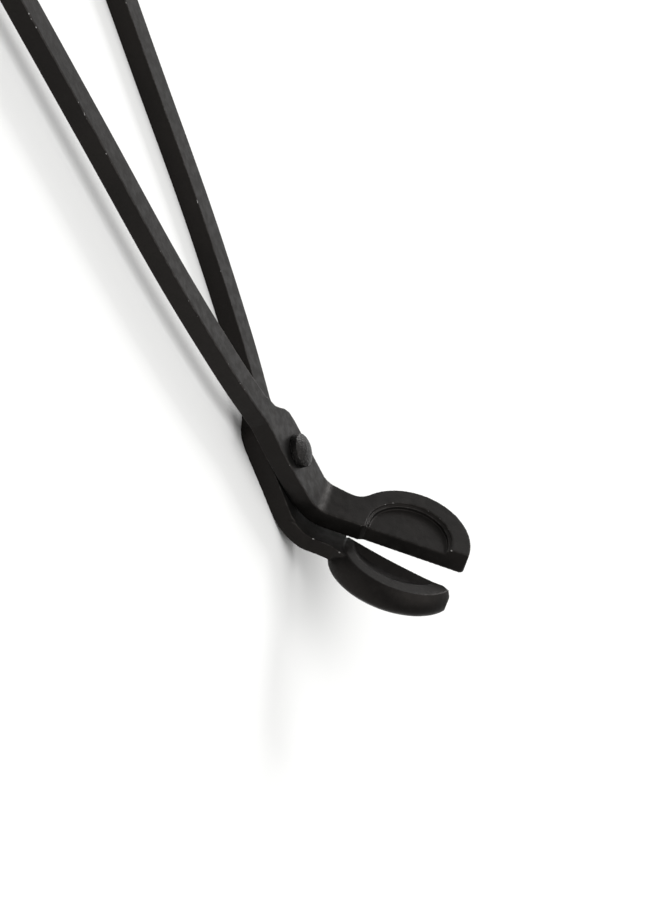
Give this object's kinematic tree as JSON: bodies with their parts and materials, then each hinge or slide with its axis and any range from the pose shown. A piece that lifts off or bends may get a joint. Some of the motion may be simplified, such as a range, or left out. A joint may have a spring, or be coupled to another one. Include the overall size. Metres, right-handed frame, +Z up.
{
  "type": "candle wick trimmer",
  "caption": "Scissor-action candle wick trimmer: bent half-disc jaws, tray and scoop, a domed pivot rivet and long handles with finger loops.",
  "frame": {"origin": "under the middle of the bounding box, on the surface that the trimmer lies on", "axes": "+Z up along the pivot rivet towards its domed head, +X along the tool towards the jaws, +Y towards the tray jaw's side; rest pose is the part-open pose of the picture"},
  "size_m": [0.1754, 0.0798, 0.0292],
  "materials": {
    "coated_metal": "matte black powder coat",
    "rivet_metal": "blackened, finely pitted dome",
    "bare_steel": "turned steel washer"
  },
  "bodies": {
    "lower_half": {"scoop_half": "coated_metal", "pivot_rivet": "rivet_metal", "friction_washer": "bare_steel", "tail_washer": "bare_steel"},
    "upper_half": {"tray_half": "coated_metal"}
  },
  "joints": [
    {"name": "jaw_pivot", "type": "hinge", "parent": "lower_half", "child": "upper_half", "pos_m": [0.05291, 0, 0.0038], "axis": [0, 0, 1], "range_deg": [-10, 30]}
  ]
}
